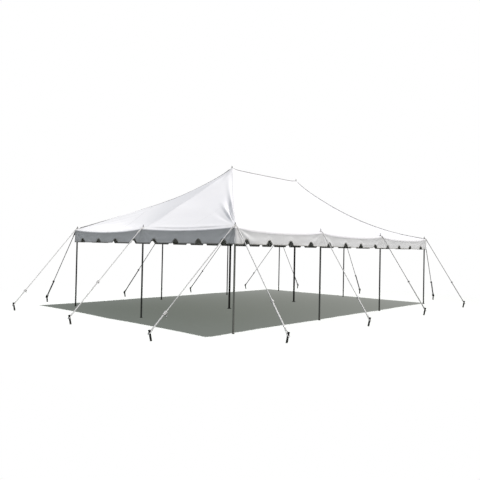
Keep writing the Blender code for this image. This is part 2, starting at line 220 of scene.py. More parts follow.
BAY = 3.048  # ten feet from one side pole to the next
HALF_LENGTH = 1.5 * BAY  # three bays along the front and the back
HALF_WIDTH = BAY  # two bays across each end
PEAK_X = 0.5 * BAY  # the two centre poles stand one bay apart
EAVE_HEIGHT = 2.135  # canopy edge, level with the side poles
OVERHANG = 0.055  # canopy edge beyond the pole line
EDGE_X = HALF_LENGTH + OVERHANG
EDGE_Y = HALF_WIDTH + OVERHANG
RUN = EDGE_Y  # plan distance from a peak to every eave
EAVE_BOW = 0.030  # how far the edge is drawn in between two poles
RISE = 1.813  # from the eaves to a peak, mean of the two
PEAK_LEAN = -0.018  # the right peak stands lower than the left by twice this
SLACK_MEAN = 0.425  # how much of a slope's profile curves, mean of the two ends
SLACK_LEAN = 0.160  # the right end hangs slacker than the left by twice this
SLACK_POWER = 2.2  # steepness of the curved share towards the peak
HIP_ROUNDING = 0.143  # how far the hips are rounded off near the peaks
HIP_WAVE = -0.012  # rise of a hip's upper half and fall of its lower, mean
HIP_WAVE_LEAN = 0.022  # the right end is above that mean, the left below
SAG_POWER = 1.6  # how soon the edge's dip fades up the slope
RIDGE_SAG = 0.012  # dip of the ridge between the peaks
CREST_RISE = 0.085  # fold up each end slope to the peak
CREST_REACH = 0.50  # plan distance over which the frame's fold falls away
FALL_CREST = 0.012  # soft fold down a long slope to its side pole
END_DISH = 0.026  # hollow of an end slope's two flanks
FAR_DISH = 0.060  # more, low down in the back flanks
FAR_BELLY = 0.070  # hollow low down in the far left flank
LIP_DROP = 0.031  # dip along the edge of the near left flank
PEAK_POINT = 0.045  # how far the cloth is drawn up round a peak's pin
PLEAT = 0.004  # of the 13 pleats round a peak
UNEVENNESS = 0.007
UP = Vector((0.0, 0.0, 1.0))

# Folds off a corner: heading off the hip in degrees towards the end of the tent, half width in
# degrees, height, and how far from the corner it is highest and ends
CORNER_FOLDS = (
    (14.0, 2.6, -0.014, 1.0, 2.4),
    (7.2, 1.30, 0.044, 1.0, 2.6),
    (3.7, 1.10, -0.046, 1.1, 2.8),
    (1.3, 0.85, 0.044, 1.3, 3.0),
    (-0.4, 0.75, -0.018, 1.0, 2.6),
    (1.6, 1.10, 0.022, 2.9, 4.2),
    (-2.4, 1.20, 0.006, 1.3, 2.3),
    (-9.0, 2.0, -0.005, 0.8, 1.8),
    (-16.0, 2.2, 0.004, 0.7, 1.6),
)
# How hard each corner is pulled, by its end and its side
CORNER_PULL = {(-1, -1): 1.0, (1, -1): 0.55, (-1, 1): 0.6, (1, 1): 0.7}
# Folds off a pole in the middle of a side, by their heading off the way in
POLE_FOLDS = (
    (-52.0, 4.0, 0.005, 0.35, 1.1),
    (-34.0, 3.5, -0.005, 0.5, 1.4),
    (-21.0, 3.0, 0.005, 0.5, 1.5),
    (19.0, 3.0, 0.006, 0.5, 1.5),
    (33.0, 3.5, -0.005, 0.45, 1.3),
    (50.0, 4.0, 0.004, 0.35, 1.1),
)
MID_POLES = ((-HALF_LENGTH, 0.0), (HALF_LENGTH, 0.0), (-PEAK_X, -HALF_WIDTH), (PEAK_X, -HALF_WIDTH),
             (-PEAK_X, HALF_WIDTH), (PEAK_X, HALF_WIDTH))


def ease(value, low, high):
    """An eased step from 0 at low to 1 at high."""
    share = max(0.0, min(1.0, (value - low) / (high - low)))
    return share * share * (3.0 - 2.0 * share)


def eave_phase(x, y):
    """Where the fall line through a plan point meets the eave, as 0 to 1 between two poles."""
    beyond = max(abs(x) - PEAK_X, 0.0)
    across = abs(y)
    if beyond == 0.0:
        return (x + PEAK_X) / (2.0 * PEAK_X)
    along = beyond if across >= beyond else across
    return min(along / max(beyond, across) * RUN / BAY, 1.0)


def bow(x, y):
    """0 on the fall line to a pole, and 1 on the one halfway between two poles."""
    phase = eave_phase(x, y)
    return 4.0 * phase * (1.0 - phase)


def bay_sag(x, y):
    """How far the edge of the bay below a plan point dips."""
    if abs(x) - PEAK_X < abs(y):
        return 0.050 if y < 0.0 else 0.065
    if x > 0.0:
        return 0.060
    return 0.046 if y < 0.0 else 0.070


def crest_top(fall):
    """Height of the fold up an end slope, at a share of the way down from the peak."""
    return CREST_RISE * ease(fall, 0.05, 0.30) * (1.0 - ease(fall, 0.62, 0.92))


def crest_flank(beyond, across):
    """The share of that height which the frame's smooth fold has at a plan point."""
    return ease(1.0 - across / beyond, 0.0, 1.0) * exp(-across / CREST_REACH)


def frame_height(x, y):
    """Height of the smooth canopy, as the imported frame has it."""
    beyond = max(abs(x) - PEAK_X, 0.0)
    across = abs(y)
    steep = max(beyond, across)
    fall = steep / RUN
    corner = min(beyond, across) / max(steep, 1e-9)
    end = max(-1.0, min(1.0, x / PEAK_X))
    slack = SLACK_MEAN + SLACK_LEAN * end
    rounded = fall + HIP_ROUNDING * fall * corner ** 4 * max(1.0 - fall, 0.0)
    left = max(1.0 - rounded, 0.0)
    profile = (1.0 - slack) * left + slack * left ** SLACK_POWER
    height = EAVE_HEIGHT + (RISE + PEAK_LEAN * end) * profile
    height += (HIP_WAVE + HIP_WAVE_LEAN * end) * corner ** 4 * sin(tau * fall)
    if beyond > across:
        height += crest_top(fall) * crest_flank(beyond, across)
    if steep > 0.0:
        height -= bay_sag(x, y) * bow(x, y) * fall ** SAG_POWER
    if beyond == 0.0:
        height -= RIDGE_SAG * (1.0 - (x / PEAK_X) ** 2) * left
    return height


def fan(offset, way_in, side, folds):
    """Rise of the sheet in a fan of folds, at an offset from the pole that pulls them."""
    reach = offset.length
    if reach < 0.05 or reach > 4.2:
        return 0.0
    heading = degrees(atan2(side * way_in.cross(offset), way_in.dot(offset)))
    rise = 0.0
    for towards, width, height, top, end in folds:
        away = (heading - towards) / width
        if abs(away) < 3.0:
            grown = ease(reach, 0.05, top) * (1.0 - ease(reach, top, end))
            rise += height * exp(-away * away) * grown
    return rise


def taut(fall):
    """0 at a peak and at the eave, and 1 where the slope is stretched between them."""
    return ease(fall, 0.03, 0.35) * (1.0 - ease(fall, 0.75, 1.0))


def end_form(x, y):
    """What an end slope has over the frame: straight flanks to its fold, hollows, and a lip."""
    beyond = abs(x) - PEAK_X
    across = abs(y)
    fall = beyond / RUN
    flank = across / beyond
    form = crest_top(fall) * (1.0 - flank - crest_flank(beyond, across))
    dish = END_DISH + FAR_DISH * ease(fall, 0.5, 0.8) if y > 0.0 else END_DISH
    form -= dish * taut(fall) * sin(pi * flank)
    if x < 0.0 and y > 0.0:
        low_down = ease(fall, 0.40, 0.80) * (1.0 - ease(fall, 0.80, 1.0))
        form -= FAR_BELLY * sin(pi * eave_phase(x, y)) * low_down
    elif x < 0.0:
        inward = EDGE_X - abs(x)
        lip = (1.0 - ease(inward, 0.100, 0.125)) * ease(inward, 0.0, 0.04)
        form -= LIP_DROP * ease(bow(x, y), 0.0, 0.8) * lip
    return form


def folds_height(x, y):
    """Folds, pull lines and soft unevenness of the sheet over a plan point."""
    across = 1 if y > 0.0 else -1
    end = 1 if x > 0.0 else -1
    offset = Vector((x - end * HALF_LENGTH, y - across * HALF_WIDTH))
    way_in = Vector((-end, -across)).normalized()
    rise = CORNER_PULL[end, across] * fan(offset, way_in, end * across, CORNER_FOLDS)
    for pole_x, pole_y in MID_POLES:
        way_in = Vector((-pole_x, 0.0)) if pole_y == 0.0 else Vector((0.0, -pole_y))
        rise += fan(Vector((x - pole_x, y - pole_y)), way_in.normalized(), 1, POLE_FOLDS)
    beyond = abs(x) - PEAK_X
    fall = max(beyond, abs(y)) / RUN
    if beyond > abs(y):
        rise += end_form(x, y)
    else:
        rise += FALL_CREST * taut(fall) * exp(-abs(beyond) / 0.34)
    uneven = UNEVENNESS * noise.noise(Vector((0.9 * x, 0.9 * y, 3.1)))
    rise += uneven * ease(1.0 - fall, 0.0, 0.2)
    peak = Vector((beyond, y))
    rise += PEAK_POINT * exp(-peak.length / 0.10)
    gather = ease(peak.length, 0.09, 0.3) * (1.0 - ease(peak.length, 0.3, 0.95))
    return rise + PLEAT * gather * cos(13.0 * atan2(peak.y, peak.x) + end)


def sheet_height(x, y):
    """Height of the sheet over a plan point."""
    return frame_height(x, y) + folds_height(x, y)


BEND_RADIUS = 0.030  # of the eave at a pole
LONG_BEND = 0.045  # more, between two poles of a long side
END_BEND = 0.008  # more, between two poles of an end
EDGE_SPAN = 0.06  # over which a slope's angle is taken at its edge


def leaned(way, angle):
    """Straight up, leaned over towards a level way."""
    return way * sin(angle) + UP * cos(angle)


def edge_point(point, out):
    """A point of the straight rim, drawn in between the poles, at the frame's height."""
    place = point - out * (EAVE_BOW * bow(point.x, point.y))
    return Vector((place.x, place.y, frame_height(point.x, point.y)))


def eave_bend(point, out):
    """The round of the eave: centre, radius and the slope's angle where the round begins."""
    more = LONG_BEND if abs(out.y) > 0.9 else END_BEND
    radius = BEND_RADIUS + more * ease(bow(point.x, point.y), 0.0, 0.6)
    edge = edge_point(point, out)
    inner = edge - out * EDGE_SPAN
    inner_height = frame_height(point.x - EDGE_SPAN * out.x, point.y - EDGE_SPAN * out.y)
    inner.z = edge.z + inner_height - frame_height(point.x, point.y)
    angle = atan2(inner.z - edge.z, EDGE_SPAN)
    tangent = radius * tan(0.5 * (0.5 * pi - angle))
    start = edge + (inner - edge).normalized() * tangent
    return start - radius * leaned(out, angle), radius, angle


CORNER_TURN = 0.030  # radius of the sheet's corners in plan
NEAR_CORNER = 1.3  # where the points along a side lie closer together
# Each side: its name, its way out in degrees, half its length, and its reach from the middle
SIDES = (("front", -90.0, EDGE_X, EDGE_Y), ("right", 0.0, EDGE_Y, EDGE_X),
         ("back", 90.0, EDGE_X, EDGE_Y), ("left", 180.0, EDGE_Y, EDGE_X))


def ways_of(turn):
    """The way out of a side and the way along it."""
    out = Vector((round(cos(radians(turn))), round(sin(radians(turn))), 0.0))
    return out, Vector((-out.y, out.x, 0.0))


def stops_along(reach, wide, close):
    """Places from one end of a side to the other, closer together near its corners."""
    places = [0.0]
    while places[-1] < reach:
        places.append(places[-1] + (close if reach - places[-1] < NEAR_CORNER else wide))
    places[-1] = reach
    return [-place for place in reversed(places[1:])] + places


def corner_ways(out, along, start, end):
    """Ways out round a rounded corner, from a share of its quarter turn to another."""
    for step in range(round(10 * start), round(10 * end) + 1, 2):
        angle = radians(9.0 * step)
        yield out * cos(angle) + along * sin(angle)


rim = []
for _, turn, half, reach in SIDES:
    out, along = ways_of(turn)
    stops = stops_along(half - CORNER_TURN, 0.08, 0.017)
    rim += [(out * reach + along * stop, out) for stop in stops]
    pivot = out * (reach - CORNER_TURN) + along * (half - CORNER_TURN)
    rim += [(pivot + way * CORNER_TURN, way) for way in corner_ways(out, along, 0.2, 0.8)]

SHEET_ROWS = 72
BEND_ROWS = 8
HEM = 0.010  # what hangs straight down below the round of the eave
points = []
for point, out in rim:
    centre, radius, angle = eave_bend(point, out)
    start = centre + radius * leaned(out, angle)
    top = Vector((max(-PEAK_X, min(PEAK_X, point.x)), 0.0, 0.0))
    settle = start.z - sheet_height(start.x, start.y)
    for row in range(SHEET_ROWS):
        share = 1.0 - (1.0 - row / (SHEET_ROWS - 1)) ** 1.5
        place = top.lerp(start, share)
        place.z = sheet_height(place.x, place.y) + settle * ease(share, 0.9, 1.0)
        points.append(place)
    for row in range(1, BEND_ROWS + 1):
        turned = angle + (0.5 * pi - angle) * row / BEND_ROWS
        points.append(centre + radius * leaned(out, turned))
    points.append(points[-1] - UP * HEM)


def grid_faces(columns, rows, closed=False, first=0):
    """Faces of a grid of points that were made column by column."""
    faces = []
    for column in range(columns if closed else columns - 1):
        here = first + column * rows
        after = first + (column + 1) % columns * rows
        for row in range(rows - 1):
            faces.append((here + row, here + row + 1, after + row + 1, after + row))
    return faces


def add_piece(name, points, faces, material, sharp=None):
    """A finished piece of the tent that rides with the frame."""
    mesh = bpy.data.meshes.new(name)
    mesh.from_pydata(points, [], faces)
    mesh.shade_smooth()
    if sharp:
        mesh.set_sharp_from_angle(angle=radians(sharp))
    mesh.materials.append(material)
    piece = bpy.data.objects.new(name, mesh)
    bpy.context.scene.collection.objects.link(piece)
    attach(piece, "root")
    return piece


def mottle(place, scale, detail=3.0):
    """Cloudy variation from 0 to 1."""
    sockets = {"Vector": place, "Scale": scale, "Detail": detail}
    return place.node("ShaderNodeTexNoise", None, sockets)


def wave(distance, pitch):
    """A wave from -1 to 1 along a distance."""
    return (distance * (tau / pitch)).maths("SINE")


def cloth_weave(x, y, z):
    """Height of the coated cloth's basket weave, of 4 mm pitch."""
    return wave(x, 0.004) * wave(y + z, 0.004) * 0.00005


def relief(height):
    """A normal from a height in metres."""
    sockets = {"Strength": 1.0, "Distance": 1.0, "Height": height}
    return height.node("ShaderNodeBump", None, sockets)


def round_patch(x, y, middle, radius):
    """1 on a round patch, and 1 along its row of stitches, each 0 elsewhere."""
    away = squared_away(x, y, middle).maths("SQRT")
    return away.step(radius, radius - 0.004), abs(away - (radius - 0.016)).step(0.004, 0.001)


COATED_CLOTH = {"Specular IOR Level": 0.45, "Sheen Weight": 0.05}
HALF_PANEL = BAY / 4.0  # half the width of a welded panel
SEAM_HALF = 0.021
STITCH_ROW = 0.012  # from a seam's middle
STITCH_PITCH = 0.012
# The patches of one quarter of the tent: their middles and radii
PATCHES = (((PEAK_X, 0.0), 0.30), ((HALF_LENGTH, HALF_WIDTH), 0.24),
           ((PEAK_X, HALF_WIDTH), 0.16), ((HALF_LENGTH, 0.0), 0.16))

vinyl, shader, place, x, y, z = material_of("white_vinyl_roof", COATED_CLOTH)
beyond = (abs(x) - PEAK_X).maths("MAXIMUM", 0.0)
across = abs(y)
on_end = beyond.maths("GREATER_THAN", across)
to_end_seam = on_end * y.maths("PINGPONG", HALF_PANEL)
to_panel_seam = to_end_seam + (1.0 - on_end) * x.maths("PINGPONG", HALF_PANEL)
to_hip_seam = abs(beyond - across) * 0.71
to_seam = to_panel_seam.maths("MINIMUM", to_hip_seam)
seam = to_seam.step(SEAM_HALF, SEAM_HALF - 0.003)
thread = abs(to_seam - STITCH_ROW).step(0.0025, 0.0010)
stitch = thread * wave(x + y, STITCH_PITCH).step(-0.5, 0.2)
patch = None
for middle, radius in PATCHES:
    here, row = round_patch(abs(x), across, middle, radius)
    stitch = stitch.maths("MAXIMUM", row)
    patch = here if patch is None else patch.maths("MAXIMUM", here)
clouds = mottle(place, 0.45, 4.0)
specks = mottle(place, 7.0, 6.0)
fall = beyond.maths("MAXIMUM", across)
grime = fall.step(2.55, 3.12) * specks.step(0.42, 0.72)
# Painted light: the lower far left of the roof is painted paler, standing in for the brighter light
# there
painted_light_patch = y.step(-1.2, 1.4) * fall.step(1.2, 2.3) * x.step(-1.6, -2.4)
colour = clouds.step(0.35, 0.65).blend((0.815, 0.815, 0.835), (0.850, 0.850, 0.862))
colour = painted_light_patch.blend(colour, (0.935, 0.935, 0.945))
colour = (seam * 0.5 + patch * 0.4).blend(colour, (0.80, 0.80, 0.815))
colour = (stitch * 0.5).blend(colour, (0.66, 0.65, 0.63))
colour = (grime * 0.16).blend(colour, (0.55, 0.53, 0.47))
ripple = mottle(place, 3.2, 2.0)
height = ripple * 0.0035 + specks * 0.0004 + cloth_weave(x, y, z)
height = height + seam * 0.0009 + patch * 0.0012 - stitch * 0.0006
feed(shader, {"Base Color": colour, "Roughness": 0.40 + specks * 0.14 + grime * 0.15,
              "Normal": relief(height)})

faces = grid_faces(len(rim), SHEET_ROWS + BEND_ROWS + 1, closed=True)
canopy = add_piece("canopy_sheet", points, faces, vinyl)
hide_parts("canopy_slope_front", "canopy_slope_back", "canopy_slope_left",
            "canopy_slope_right")
cloths = bpy.data.collections.new("cloths_that_shade_the_floor")
cloths.objects.link(canopy)
shadow_lamp.light_linking.blocker_collection = cloths

# The hip and ridge seams stand up as a narrow welt of webbing, sewn into the joint of the slopes.
# It runs from peak to peak and down each hip to the corner.

WELT_RISE = 0.018  # of the ridge's welt above the sheet
WELT_HALF = 0.0020  # half its thickness
WELT_ROOT = 0.004  # how deep it sits in the sheet
WELT_STEP = 0.03
PEAK_ROOM = 0.03  # from a peak to the end of a welt
CORNER_ROOM = 0.025
# How high each hip's welt stands, as a share of the ridge's, by its end and its side
WELT_SHARES = {(-1, -1): 0.1, (-1, 1): 1.5, (1, -1): 1.25, (1, 1): 1.25}


def ribbed_material(name, roughness, scale, tones, pitch, depth):
    """Woven webbing with fine ribs across it."""
    constants = {"Roughness": roughness, "Specular IOR Level": 0.3}
    material, shader, place, x, y, _ = material_of(name, constants)
    feed(shader, {"Base Color": mottle(place, scale).blend(*tones),
                  "Normal": relief(wave(x + y, pitch) * depth)})
    return material


webbing = ribbed_material("seam_webbing", 0.8, 5.0, ((0.27, 0.27, 0.27), (0.36, 0.36, 0.36)),
                          pitch=0.006, depth=0.0003)

ridge_end = Vector((PEAK_X - PEAK_ROOM, 0.0))
welts = [(-ridge_end, ridge_end, WELT_RISE)]
for (end, across), share in WELT_SHARES.items():
    peak = Vector((end * PEAK_X, 0.0))
    corner = Vector((end * HALF_LENGTH, across * HALF_WIDTH))
    way = (corner - peak).normalized()
    welts.append((peak + way * PEAK_ROOM, corner - way * CORNER_ROOM, share * WELT_RISE))
points = []
faces = []
for first, last, stands in welts:
    way = (last - first).normalized()
    aside = Vector((-way.y, way.x)) * WELT_HALF
    count = round((last - first).length / WELT_STEP)
    faces += grid_faces(count + 1, 5, first=len(points))
    for step in range(count + 1):
        middle = first.lerp(last, step / count)
        sheet_z = sheet_height(middle.x, middle.y)
        rise = stands * ease(step, 0, 2) * ease(count - step, 0, 2)
        section = ((-1, -WELT_ROOT), (-1, rise - 0.001), (0, rise), (1, rise - 0.001), (1, -WELT_ROOT))
        for sideways, height in section:
            plan = middle + aside * sideways
            points.append((plan.x, plan.y, sheet_z + height))
welt = add_piece("seam_welt", points, faces, webbing, sharp=40)

# The valance is a curtain of the same vinyl, welded under the canopy's rounded edge on each side.
# Its foot is cut in shallow scallops with a domed notch every two and a half feet, and bound with a
# folded tape. The near left corner pulls it hardest.

VALANCE_FOOT = 1.795  # height of the lobes' lower edge
SCALLOP_PITCH = BAY / 4.0  # four scallop notches to a bay
NOTCH_HEIGHT = 0.100
NOTCH_HALF_WIDTH = 0.106
NOTCH_DRIFT = 0.09  # of the notches towards the near left corner
VALANCE_ROWS = 12
VALANCE_STEP = 0.0195
VALANCE_INSET = 0.0016  # of the curtain's head behind the canopy's hem
VALANCE_LAP = 0.004  # of its head up into the round of the eave
NEAR_LEFT = (("front", 0), ("left", 2))
HEAD_ROW = 2.035  # height of the stitches that hold the curtain


def valance_foot(side, station):
    """Height of the valance's lower edge at a distance from the side's first corner pole."""
    if side == "front":
        station += NOTCH_DRIFT * (1.0 - ease(station, 3.0, 4.6))
    if side == "left":
        station -= NOTCH_DRIFT * (1.0 - ease(2.0 * HALF_WIDTH - station, 3.0, 4.6))
    place = station / SCALLOP_PITCH - 0.5
    offset = abs(place - round(place)) * SCALLOP_PITCH
    return VALANCE_FOOT + NOTCH_HEIGHT * max(1.0 - (offset / NOTCH_HALF_WIDTH) ** 2, 0.0)


def hang_out(side, station, half, depth, drop):
    """How far the valance stands out, at a share of its depth and a drop below the eave."""
    flute = sin(tau * station / SCALLOP_PITCH + 0.6 * sin(1.7 * station))
    out = -0.003 * sin(pi * min(depth / 0.62, 1.0)) + 0.005 * depth ** 2
    out += 0.0045 * depth * flute
    out += 0.008 * depth * noise.noise(Vector((2.3 * station, 3.0 * depth, half)))
    for pole in range(round(2.0 * half / BAY) + 1):
        away = station - pole * BAY
        reach = hypot(away, drop)
        if 0.03 < reach < 0.9:
            angle = atan2(drop, abs(away))
            pull = 0.0026 if side == "left" else 0.0042
            pull *= ease(reach, 0.03, 0.16) * (1.0 - ease(reach, 0.25, 0.85))
            if (side, pole) in NEAR_LEFT:
                pull *= 2.2
            fold = cos((11.0 + pole) * (0.5 * pi - angle))
            out += pull * fold * ease(angle, 0.05, 0.3)
    return out


drape, shader, place, x, y, z = material_of("white_vinyl_valance", COATED_CLOTH)
specks = mottle(place, 9.0, 6.0)
clouds = mottle(place, 1.1, 3.0)
join = (x + y).maths("PINGPONG", HALF_PANEL).step(0.014, 0.012)
join_row = abs(z - HEAD_ROW).step(0.002, 0.0008)
grime = z.step(1.90, 1.79) * specks.step(0.40, 0.70)
colour = clouds.step(0.35, 0.65).blend((0.79, 0.80, 0.80), (0.825, 0.832, 0.83))
colour = (join * 0.35 + join_row * 0.3).blend(colour, (0.74, 0.74, 0.74))
colour = (grime * 0.22).blend(colour, (0.55, 0.54, 0.46))
height = mottle(place, 5.0, 2.0) * 0.0030 + specks * 0.0004 + cloth_weave(x, y, z)
feed(shader, {"Base Color": colour, "Roughness": 0.42 + specks * 0.14,
              "Normal": relief(height)})

# The tape is darker than the cloth: partly its own tone, partly painted shade where it curls under
tape = ribbed_material("folded_binding_tape", 0.75, 6.0,
                       ((0.48, 0.476, 0.45), (0.57, 0.566, 0.54)),
                       pitch=0.005, depth=0.00025)
TAPE_WIDTH = 0.019
TAPE_LIFT = 0.0022  # of the folded tape off the middle of the cloth
# The tape's section, up one face of the cloth, round its foot and up the other
TAPE_SECTION = ((1.0, TAPE_WIDTH), (1.15, 0.4 * TAPE_WIDTH), (1.0, 0.0), (0.0, -TAPE_LIFT),
                (-1.0, 0.0), (-1.15, 0.4 * TAPE_WIDTH), (-1.0, TAPE_WIDTH))

for name, turn, half, reach in SIDES:
    out, along = ways_of(turn)
    pole_half = half - OVERHANG
    stops = stops_along(half - CORNER_TURN, VALANCE_STEP, VALANCE_STEP)
    line = [(out * reach + along * stop, out, stop) for stop in stops]
    for hand in (-1, 1):
        pivot = out * (reach - CORNER_TURN) + along * (hand * (half - CORNER_TURN))
        turns = []
        for way in corner_ways(out, along * hand, 0.1, 0.5):
            point = pivot + way * CORNER_TURN
            turns.append((point, way, point.dot(along)))
        line = line + turns if hand == 1 else turns[::-1] + line
    points = []
    feet = []
    for point, way, stop in line:
        centre, radius, angle = eave_bend(point, way)
        station = stop + pole_half
        head = centre + way * (radius - VALANCE_INSET) + UP * VALANCE_LAP
        foot = valance_foot(name, station)
        for row in range(VALANCE_ROWS + 1):
            depth = row / VALANCE_ROWS
            level = head.z + (foot - head.z) * depth
            shift = hang_out(name, station, pole_half, depth, head.z - level)
            points.append((head.x + way.x * shift, head.y + way.y * shift, level))
        feet.append((Vector(points[-1]), Vector(points[-2]), way))
    faces = grid_faces(len(line), VALANCE_ROWS + 1)
    curtain = add_piece("valance_curtain_" + name, points, faces, drape)
    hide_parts("valance_" + name)
    cloths.objects.link(curtain)

    points = []
    for index, (foot, above, way) in enumerate(feet):
        before = feet[max(index - 1, 0)][0]
        after = feet[min(index + 1, len(feet) - 1)][0]
        run = (after - before).normalized()
        rise = (above - foot).normalized()
        rise = (rise - run * rise.dot(run)).normalized()
        for sideways, height in TAPE_SECTION:
            points.append(foot + way * (sideways * TAPE_LIFT) + rise * height)
    faces = grid_faces(len(feet), len(TAPE_SECTION))
    binding = add_piece("valance_binding_" + name, points, faces, tape)

# Nickel-plated eyelets are set in the canopy's patches, one round each pole's pin, the two at the
# peaks larger. They are pressed from sheet, with a rolled rim.

EYELET_RADIUS = 0.0185  # to the middle of the rolled rim
PEAK_EYELET_RADIUS = 0.021
EYELET_SIDES = 28
EYELET_LIFT = 0.0012  # of the rim's middle above the sheet
EYELET_WIDTH = 0.008  # half the rim's width
EYELET_RISE = 0.0022  # half its height
RIM_TURNS = [tau * side / 8 for side in range(8)]

nickel, shader, place, *_ = material_of("eyelet_nickel", {"Metallic": 1.0})
tarnish = mottle(place, 60.0, 4.0).step(0.35, 0.7)
feed(shader, {"Base Color": tarnish.blend((0.56, 0.54, 0.50), (0.36, 0.35, 0.32)),
              "Roughness": 0.30 + tarnish * 0.3})


def lift_normal(x, y):
    """The sheet's upward normal over a plan point."""
    slope_x = (sheet_height(x + 0.02, y) - sheet_height(x - 0.02, y)) / 0.04
    slope_y = (sheet_height(x, y + 0.02) - sheet_height(x, y - 0.02)) / 0.04
    return Vector((-slope_x, -slope_y, 1.0)).normalized()


def add_rings(points, faces, rings, closed=True):
    """Join rings of points, one after another, into a skin."""
    base = len(points)
    sides = len(rings[0])
    for ring in rings:
        points += ring
    for index in range(len(rings) if closed else len(rings) - 1):
        here = base + index * sides
        there = base + (index + 1) % len(rings) * sides
        for side in range(sides):
            after = (side + 1) % sides
            faces.append((here + side, here + after, there + after, there + side))


POLES = {}
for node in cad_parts:
    if "_pole_" in node:
        low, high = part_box(node)
        POLES[node] = Vector((0.5 * (low.x + high.x), 0.5 * (low.y + high.y), high.z))

points = []
faces = []
for node, pin in POLES.items():
    radius = EYELET_RADIUS
    normal = lift_normal(pin.x - copysign(0.03, pin.x), pin.y)
    if node.startswith("centre"):
        radius = PEAK_EYELET_RADIUS
        normal = UP.copy()
    seat = Vector((pin.x, pin.y, sheet_height(pin.x, pin.y))) + normal * EYELET_LIFT
    first = normal.orthogonal().normalized()
    second = normal.cross(first)
    rings = []
    for step in range(EYELET_SIDES):
        angle = tau * step / EYELET_SIDES
        spoke = first * cos(angle) + second * sin(angle)
        rings.append([seat + spoke * (radius + EYELET_WIDTH * cos(turn))
                      + normal * (EYELET_RISE * sin(turn)) for turn in RIM_TURNS])
    add_rings(points, faces, rings)
eyelets = add_piece("pin_eyelets", points, faces, nickel)

# The ten side poles are galvanised steel tubes with a pressed foot plate, a swaged shoulder under
# the canopy, and a turned pin that goes up through the eyelet. The one at the near left corner is
# painted paler than the rest, as painted light for the light that falls on it.


def capped_skin(rings):
    """Points and faces of rings joined one after another and closed at both ends."""
    points = []
    faces = []
    add_rings(points, faces, rings, closed=False)
    sides = len(rings[0])
    faces.append(tuple(range(sides))[::-1])
    faces.append(tuple(range(len(points) - sides, len(points))))
    return points, faces


def turned_piece(name, profile, sides, middle, material, lean=None):
    """A piece turned on a lathe from (radius, height) steps, stood on a place and leaned if asked."""
    turn = UP.rotation_difference(lean).to_matrix() if lean else Matrix.Identity(3)
    rings = []
    for radius, height in profile:
        ring = []
        for side in range(sides):
            angle = tau * side / sides
            spot = Vector((radius * cos(angle), radius * sin(angle), height))
            ring.append(middle + turn @ spot)
        rings.append(ring)
    points, faces = capped_skin(rings)
    return add_piece(name, points, faces, material, sharp=38)


def drawn_mottle(place, scale, detail):
    """Cloudy variation that is drawn out along an upright tube."""
    drawn = place.node("ShaderNodeMapping", None, {"Vector": place, "Scale": scale})
    return mottle(drawn, 1.0, detail)


steel, shader, place, x, y, z = material_of("galvanised_tube",
                                            {"Metallic": 0.85, "Specular IOR Level": 0.4})
spangle = place.node("ShaderNodeTexVoronoi", None, {"Vector": place, "Scale": 70.0}, out="Color")
spangle = spangle.node("ShaderNodeSeparateColor", None, {0: spangle})
streaks = drawn_mottle(place, (30.0, 30.0, 1.6), 4.0).step(0.35, 0.75)
scuffs = z.step(0.35, 0.02) * mottle(place, 45.0, 5.0).step(0.45, 0.65)
# Painted light: the near left corner pole is painted paler, standing in for the light on it
painted_light_on_near_pole = x.step(-4.3, -4.4) * y.step(-2.8, -2.9)
colour = spangle.blend((0.055, 0.059, 0.054), (0.085, 0.090, 0.083))
colour = (streaks * 0.5).blend(colour, (0.045, 0.045, 0.040))
colour = painted_light_on_near_pole.blend(colour, (0.150, 0.155, 0.140))
colour = (scuffs * 0.6).blend(colour, (0.11, 0.09, 0.07))
feed(shader, {"Base Color": colour, "Roughness": 0.52 + spangle * 0.12 + streaks * 0.15,
              "Normal": relief(spangle * 0.00015)})

SIDE_TUBE = 0.0205
SWAGE = 0.0222
SHOULDER_ROOM = 0.014  # from the sheet down to a pole's shoulder
for node, pin in POLES.items():
    if node.startswith("centre"):
        continue
    shoulder = sheet_height(pin.x, pin.y) - SHOULDER_ROOM
    profile = [(0.001, 0.0), (0.031, 0.0), (0.032, 0.001), (0.032, 0.006), (0.030, 0.008),
               (0.0225, 0.009), (0.0215, 0.020),
               (SIDE_TUBE, 0.024), (SIDE_TUBE, 1.12), (SIDE_TUBE, shoulder - 0.085),
               (SWAGE, shoulder - 0.080), (SWAGE, shoulder - 0.012), (SIDE_TUBE, shoulder - 0.003),
               (0.0170, shoulder), (0.0080, shoulder + 0.001), (0.0080, pin.z - 0.010),
               (0.0066, pin.z - 0.004), (0.0035, pin.z - 0.0005), (0.0006, pin.z)]
    foot = Vector((pin.x, pin.y, 0.0))
    tube = turned_piece("galvanised_" + node, profile, 28, foot, steel)
    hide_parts(node)

# The two centre poles are longer dark steel tubes in two lengths, joined by a sleeve. Each stands on
# a round plate, and a crown plate and pin carry the peak.

dark_steel, shader, place, *_ = material_of("dark_steel_tube",
                                            {"Metallic": 0.7, "Specular IOR Level": 0.35})
bloom = mottle(place, 12.0, 5.0).step(0.45, 0.75)
scratches = drawn_mottle(place, (90.0, 90.0, 2.0), 3.0).step(0.62, 0.70)
colour = bloom.blend((0.026, 0.027, 0.022), (0.046, 0.042, 0.033))
colour = (scratches * 0.4).blend(colour, (0.11, 0.11, 0.10))
feed(shader, {"Base Color": colour, "Roughness": 0.5 + bloom * 0.2})

